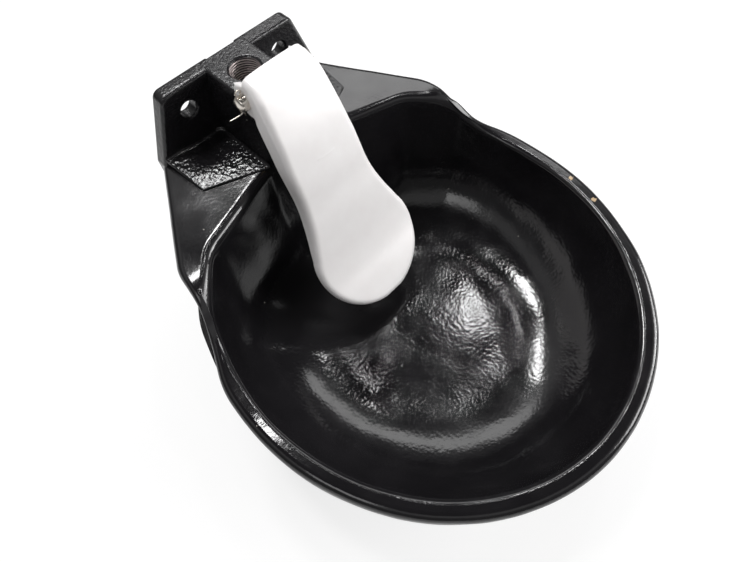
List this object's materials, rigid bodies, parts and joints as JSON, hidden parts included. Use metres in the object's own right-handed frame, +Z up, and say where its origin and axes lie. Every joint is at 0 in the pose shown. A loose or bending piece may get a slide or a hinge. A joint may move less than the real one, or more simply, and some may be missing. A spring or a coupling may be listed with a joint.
{
  "type": "livestock drinking bowl",
  "caption": "Wall-hung cast-iron drinking bowl for horses and cattle, whose nose paddle opens a spring-loaded water valve.",
  "frame": {"origin": "on the wall face, midway between the two bolt holes", "axes": "+X to the right as seen from the front, +Y into the wall, +Z up; the bowl stands out along -Y"},
  "size_m": [0.285, 0.3335, 0.188],
  "materials": {
    "black_paint": "gloss black paint over rough iron",
    "zinc": "galvanised, bright",
    "steel": "zinc plated",
    "brass": "turned",
    "fibre": "matt",
    "rubber": "matt",
    "strainer_plastic": "moulded",
    "plug_iron": "galvanised"
  },
  "bodies": {
    "casting": {"bowl_casting": "black_paint", "pivot_pin": "steel", "split_pin": "steel", "valve_body": "brass", "body_gasket": "fibre", "valve_spring": "steel", "spring_cage": "brass", "inlet_strainer": "strainer_plastic", "blanking_plug": "plug_iron", "plug_gasket": "fibre"},
    "paddle": {"nose_paddle": "zinc"},
    "stem": {"valve_stem": "brass", "seat_seal": "rubber"}
  },
  "joints": [
    {"name": "paddle_hinge", "type": "hinge", "parent": "casting", "child": "paddle", "pos_m": [0, -0.0565, 0.0257], "axis": [1, 0, 0], "range_deg": [0, 8], "stiffness_Nm_per_rad": 3, "springref_deg": -14.32},
    {"name": "stem_slide", "type": "slide", "parent": "casting", "child": "stem", "axis": [0, 1, 0], "range_m": [0, 0.00505], "deforming": ["valve_spring"]}
  ],
  "couplings": [
    {"joint": "stem_slide", "follows": "paddle_hinge", "m_per_rad": 0.03557}
  ]
}
